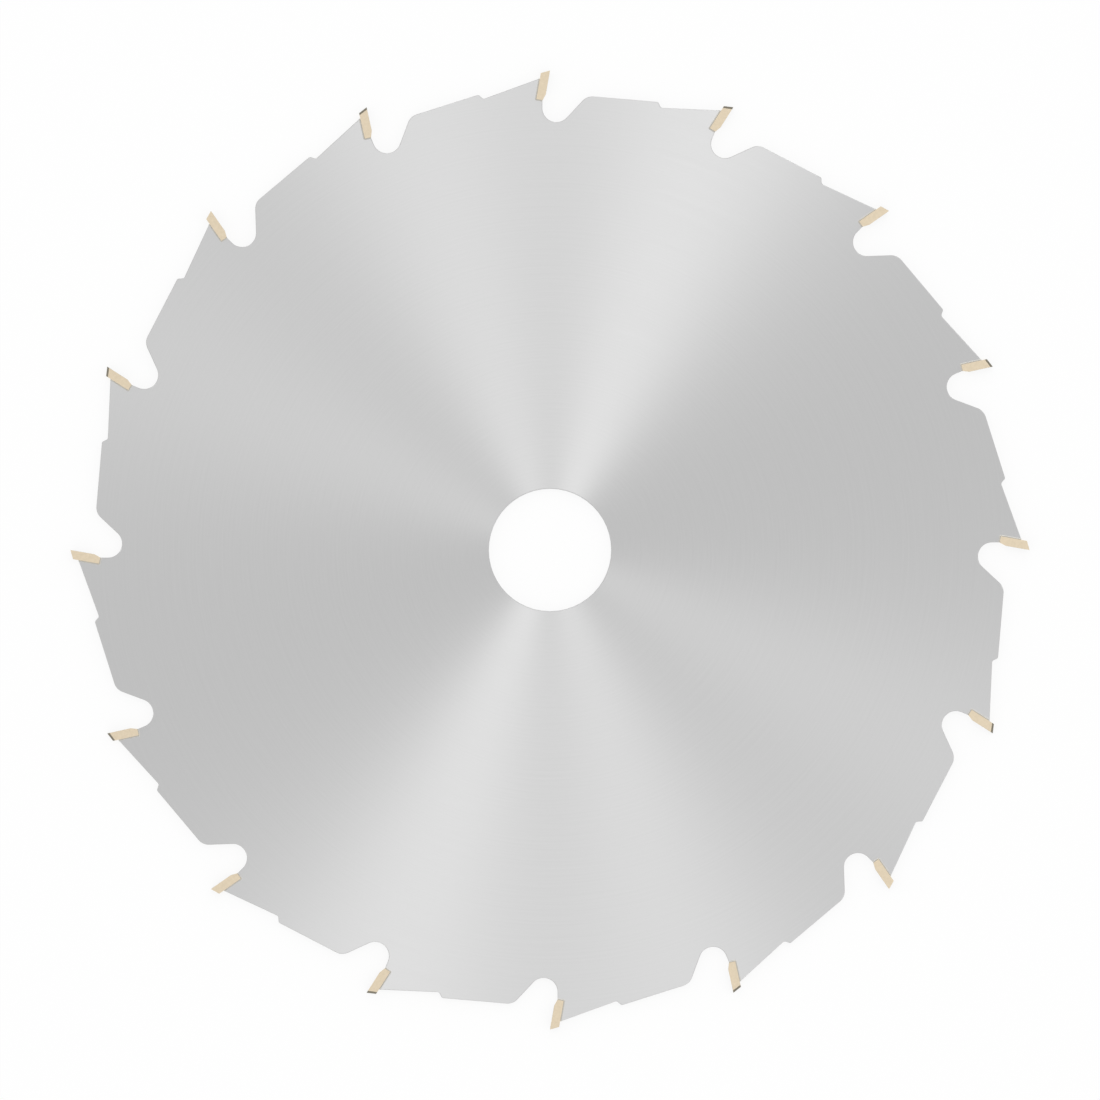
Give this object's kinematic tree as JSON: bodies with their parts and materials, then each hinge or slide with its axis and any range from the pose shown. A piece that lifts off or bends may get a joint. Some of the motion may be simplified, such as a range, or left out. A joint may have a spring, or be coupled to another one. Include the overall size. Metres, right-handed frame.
{
  "type": "circular saw blade",
  "caption": "Flat circular saw blade with a plain arbor bore, round gullets, chip-limiting shoulders and brazed carbide tips with alternate top bevels, for sawing wood.",
  "frame": {"origin": "centre of the arbor bore at half the plate's thickness", "axes": "+Z along the bore's axis, towards the side from which the blade cuts clockwise; +Y through the cutting edge of the first tooth"},
  "size_m": [0.235, 0.235, 0.0028],
  "materials": {
    "plate_steel": "bright, ground in circles about the bore",
    "carbide": "pale beige sides, dark ground tops and fronts",
    "braze": "dull silver solder"
  },
  "bodies": {
    "root": {"blade_plate": "plate_steel", "carbide_tip_01": "carbide", "carbide_tip_02": "carbide", "carbide_tip_03": "carbide", "carbide_tip_04": "carbide", "carbide_tip_05": "carbide", "carbide_tip_06": "carbide", "carbide_tip_07": "carbide", "carbide_tip_08": "carbide", "carbide_tip_09": "carbide", "carbide_tip_10": "carbide", "carbide_tip_11": "carbide", "carbide_tip_12": "carbide", "carbide_tip_13": "carbide", "carbide_tip_14": "carbide", "carbide_tip_15": "carbide", "carbide_tip_16": "carbide", "braze_joint_01": "braze", "braze_joint_02": "braze", "braze_joint_03": "braze", "braze_joint_04": "braze", "braze_joint_05": "braze", "braze_joint_06": "braze", "braze_joint_07": "braze", "braze_joint_08": "braze", "braze_joint_09": "braze", "braze_joint_10": "braze", "braze_joint_11": "braze", "braze_joint_12": "braze", "braze_joint_13": "braze", "braze_joint_14": "braze", "braze_joint_15": "braze", "braze_joint_16": "braze"}
  },
  "joints": []
}
